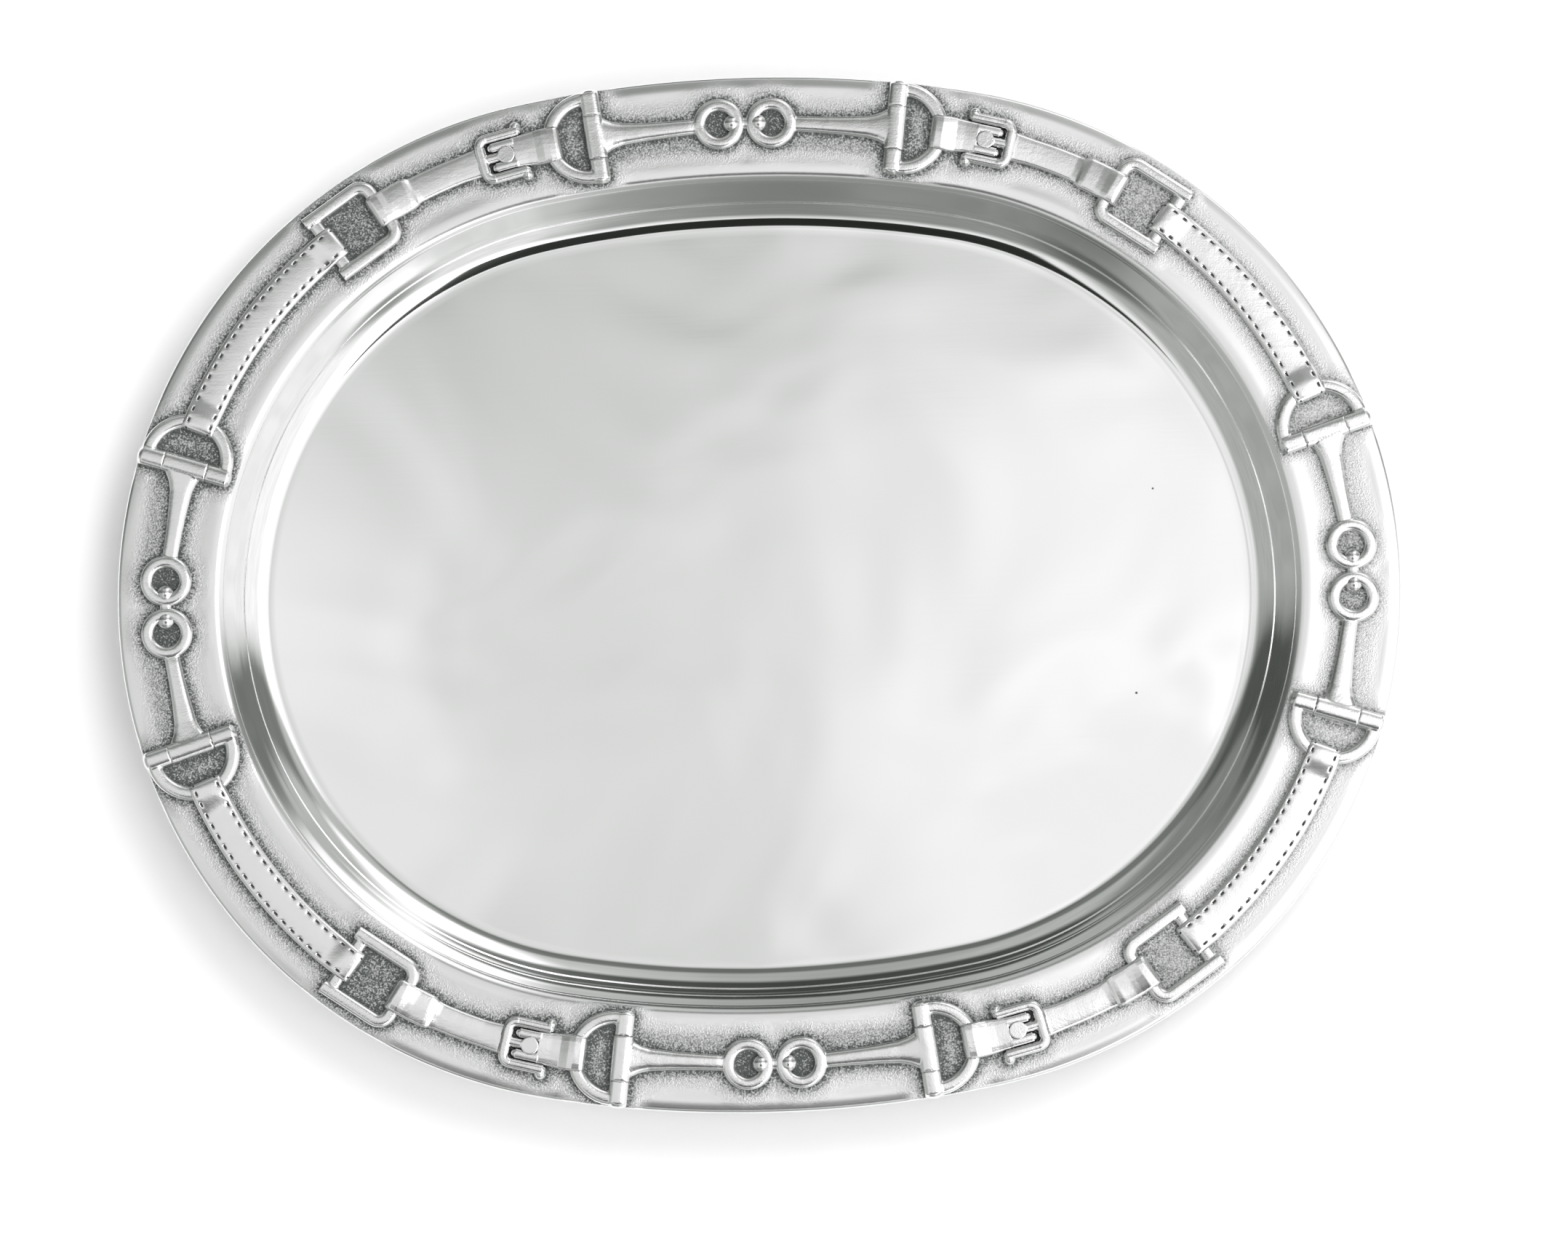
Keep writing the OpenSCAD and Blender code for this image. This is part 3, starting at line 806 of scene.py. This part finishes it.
def stitch_painted_shade():
    """Painted shade in the hollows of the stitches: dark, dull and grainy."""
    material, tree, shader, where = new_finish("stitch hollows")
    sand = use_group(tree, SAND, {"Vector": where, "Grain": 2500.0})
    level = remap(tree, sand["Speckle"], 0.0, 1.0, 0.08, 0.22)
    connect(tree, shader, {"Base Color": colour_of(tree, level, level, level),
                           "Roughness": 0.65})
    return material


def tray_finish():
    """Mirror floor and wall, satin rim, and a sand ground with painted shade round the tack.

    The painted shade is made lighter towards the +X end, as painted light from that side, and a few
    small pits mark the metal.
    """
    material, tree, shader, where = new_finish("polished casting")
    spot = add_node(tree, "ShaderNodeSeparateXYZ", {0: where}).outputs
    # Painted light and shade: the ground attribute darkens the sand round the tack as painted
    # shade, and that shade fades to 0.55 towards the +X end as painted light from that side.
    painted_light_x_end = remap(tree, spot["X"], 40 * MM, 170 * MM, 1.0, 0.55)
    hidden = maths(tree, "MULTIPLY", attribute(tree, "ground"), painted_light_x_end)
    sand = use_group(tree, SAND, {"Vector": where, "Grain": 1700.0})
    painted_shade = use_group(tree, PAINTED_SHADE, {"Hidden": hidden, "Speckle": sand["Speckle"],
                                      "Start": 0.1, "Full": 1.15,
                                      "Bright": (0.90, 0.905, 0.90, 1),
                                      "Dark": (0.14, 0.153, 0.147, 1)})
    cells = add_node(tree, "ShaderNodeTexVoronoi", {"Vector": where, "Scale": 24.0})
    unpitted = remap(tree, cells.outputs["Distance"], 0.008, 0.014, 0.0, 1.0)
    dulled = remap(tree, hidden, 0.1, 0.5, 0.0, 1.0)
    on_rim = remap(tree, spot["Z"], 18 * MM, 22 * MM, 0.0, 1.0)
    satin = remap(tree, on_rim, 0.0, 1.0, 0.06, 0.24)
    calm = remap(tree, on_rim, 0.0, 1.0, 1.0, 0.35)
    polish = use_group(tree, POLISH, {"Vector": where, "Scale": 9.0, "Streaks": 0.0015})
    slow = bump(tree, polish["Height"], calm, 1.1 * MM)
    grain = maths(tree, "MULTIPLY", dulled, sand["Height"])
    connect(tree, shader, {
        "Base Color": blend(tree, unpitted, (0.12, 0.12, 0.12, 1), painted_shade["Colour"]),
        "Roughness": remap(tree, dulled, 0.0, 1.0, satin, 0.5),
        "Normal": bump(tree, grain, 0.8, 0.3 * MM, Normal=slow)})
    return material


# ---------------------------------------------------------------- build
def hand_in(piece, node, slot, flip=(1, 1)):
    """Mirrors a piece into its corner, names it, attaches it to the root body and hides the CAD
    part.
    """
    x, y = flip
    if flip != (1, 1):
        set_in_place(piece, Matrix.Diagonal((x, y, 1, 1)))
        if x * y < 0:
            face_outwards(piece)
    piece.name = "look_" + node
    piece.data.name = "look_" + node
    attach(piece, "root")
    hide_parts(node)


line = rim_line()
tack = {"cannon_end": make_cannon(EYE_STATION, END_BAR),
        "cannon_side": make_cannon(QUARTER_RUN - EYE_STATION, SIDE_BAR),
        "dee_end": make_dee(END_BAR, 1),
        "dee_side": make_dee(SIDE_BAR, -1),
        "keeper": make_keeper(),
        "buckle": make_buckle()}
straps = {"stitched_strap": make_stitched_strap(line),
          "narrow_strap": make_narrow_strap(line),
          "billet": make_billet(line)}
links = {"link_e": make_link(0), "link_n": make_link(QUARTER_RUN)}
bpy.data.objects.remove(line)

quarter_tack = [*tack.values(), *straps.values(), *links.values()]
# Painted shade: how much of the sky nearby metal hides from each vertex of the tack, kept to darken
# its colour.
sky_rays = hemisphere(3, 6)
crevices = crevice_shade(tree_of(quarter_tack, with_rim=True), sky_rays, 2.6 * MM)
for piece in quarter_tack:
    paint(piece, "crevice", crevices)

tray = spin_quarter()
# Painted shade for the rim's sand ground: how closely the tack stands round each point and shuts it
# in.
paint(tray, "ground", ground_shade(tree_of(quarter_tack), 20, 16 * MM))
close_floor(tray)

tack_metal = relief_finish("buffed tack", (0.88, 0.885, 0.88), 0.22, 0.35)
strap_metal = relief_finish("buffed strap", (0.93, 0.932, 0.93), 0.24, 0.25)
for piece in (*tack.values(), *links.values()):
    piece.data.materials.append(tack_metal)
for piece in straps.values():
    piece.data.materials.append(strap_metal)
# The second material paints shade into the stitch hollows.
straps["stitched_strap"].data.materials.append(stitch_painted_shade())
tray.data.materials.append(tray_finish())

placed = []
for slot, pieces in (("tack_relief", tack), ("strap_relief", straps)):
    for node, piece in pieces.items():
        for corner, flip in CORNERS.items():
            here = piece if corner == "ne" else twin(piece)
            placed.append((here, f"{node}_{corner}", slot, flip))
for node, far_node, flip in (("link_e", "link_w", (-1, 1)), ("link_n", "link_s", (1, -1))):
    placed.append((twin(links[node]), far_node, "tack_relief", flip))
    placed.append((links[node], node, "tack_relief", (1, 1)))
placed.append((tray, "tray_body", "polished_body", (1, 1)))
for piece, node, slot, flip in placed:
    hand_in(piece, node, slot, flip)


# ---------------------------------------------------------------- studio
# Fades of the sky's level along an axis: start, end, level before it, level after it.
SKY_FADES = (
    ("X", -0.02, 0.07, 0.8, 1.1),  # ceiling, greyer on the left
    ("X", 0.07, 0.22, 1.0, 2.5),  # lamps high on the right
    ("X", 0.45, 0.65, 1.0, 0.4),  # right wall
    ("X", -0.1, -0.04, 1.2, 1.0),
    ("X", -0.55, -0.3, 0.5, 1.0),  # left wall
    ("Y", 0.15, 0.27, 1.0, 0.24),  # dark gap above the back wall
    ("Y", 0.42, 0.55, 1.0, 2.6),  # lit back wall
    ("Y", 0.82, 0.93, 1.0, 0.15),  # and its foot
    ("Y", -0.75, -0.55, 0.33, 1.0))  # front wall

SOFTBOX_SIDE = 1.2
CAMERA_LENS = 127.7
CAMERA_SHIFT = (0.0155, -0.020)
CAMERA_DISTANCE = 2.0
CAMERA_TILT = 6.5
CAMERA_TURN = -1.8


def studio_sky():
    """A white room seen in the metal: soft clouds overhead, a dark stand and greyer walls."""
    world = bpy.data.worlds.new("studio")
    bpy.context.scene.world = world
    world.use_nodes = True
    tree = world.node_tree
    where = tree.nodes.new("ShaderNodeTexCoord").outputs["Generated"]
    axes = add_node(tree, "ShaderNodeSeparateXYZ", {0: where}).outputs
    clouds = noise(tree, where, 16.0, 3.0, roughness=0.5, distortion=0.6)

    def fade(value, start, end, low, high):
        return remap(tree, value, start, end, low, high, "SMOOTHSTEP")

    def times(a, b):
        return maths(tree, "MULTIPLY", a, b)

    back = maths(tree, "ADD", axes["Y"], times(clouds, 0.05))
    level = times(remap(tree, clouds, 0.35, 0.65, 0.86, 1.0), fade(back, 0.145, 0.19, 1.0, 0.86))
    for axis, start, end, low, high in SKY_FADES:
        level = times(level, fade(axes[axis], start, end, low, high))
    stand_x = maths(tree, "ABSOLUTE", axes["X"])
    stand_y = maths(tree, "ABSOLUTE", maths(tree, "ADD", axes["Y"], 0.3))
    stand = times(times(fade(stand_x, 0.2, 0.3, 1.0, 0.0), fade(stand_y, 0.19, 0.24, 1.0, 0.0)),
                  fade(axes["Z"], 0.5, 0.6, 0.0, 1.0))
    level = times(level, fade(stand, 0.0, 1.0, 1.0, 0.03))
    tinted = maths(tree, "POWER", level, 1.03)
    connect(tree, tree.nodes["Background"], {"Color": colour_of(tree, tinted, level, tinted)})


def softbox(name, location, watts):
    """Square lamp aimed at the tray and left out of its reflections."""
    data = bpy.data.lights.new(name, "AREA")
    data.size = SOFTBOX_SIDE
    data.energy = watts
    light = bpy.data.objects.new(name, data)
    bpy.context.scene.collection.objects.link(light)
    light.location = location
    light.rotation_euler = (-Vector(location)).to_track_quat("-Z", "Y").to_euler()
    light.visible_glossy = False


def studio_table():
    """Sheet of white paper just under the tray."""
    bpy.ops.object.select_all(action="DESELECT")
    bpy.ops.mesh.primitive_plane_add(size=6, location=(0, 0, -0.05 * MM))
    table = bpy.context.object
    table.name = "studio_table"
    paper, tree, shader, where = new_finish("white paper")
    tint = remap(tree, noise(tree, where, 60.0, 4.0), 0.0, 1.0, 0.93, 0.96)
    connect(tree, shader, {"Metallic": 0.0, "Roughness": 0.9,
                           "Base Color": colour_of(tree, tint, tint, tint)})
    table.data.materials.append(paper)


def studio_camera():
    """Long lens almost straight above the tray."""
    data = bpy.data.cameras.new("camera")
    data.sensor_width = 36
    data.lens = CAMERA_LENS
    data.shift_x, data.shift_y = CAMERA_SHIFT
    camera = bpy.data.objects.new("camera", data)
    bpy.context.scene.collection.objects.link(camera)
    aim = (Matrix.Rotation(math.radians(CAMERA_TURN), 4, "Z")
           @ Matrix.Rotation(math.radians(CAMERA_TILT), 4, "X"))
    camera.matrix_world = aim @ Matrix.Translation((0, 0, CAMERA_DISTANCE))
    bpy.context.scene.camera = camera
    bpy.context.scene.view_settings.view_transform = "Standard"


studio_sky()
softbox("key softbox", (0.9, 0.9, 1.3), 20)
softbox("fill softbox", (-1.0, -0.9, 1.2), 11)
studio_table()
studio_camera()
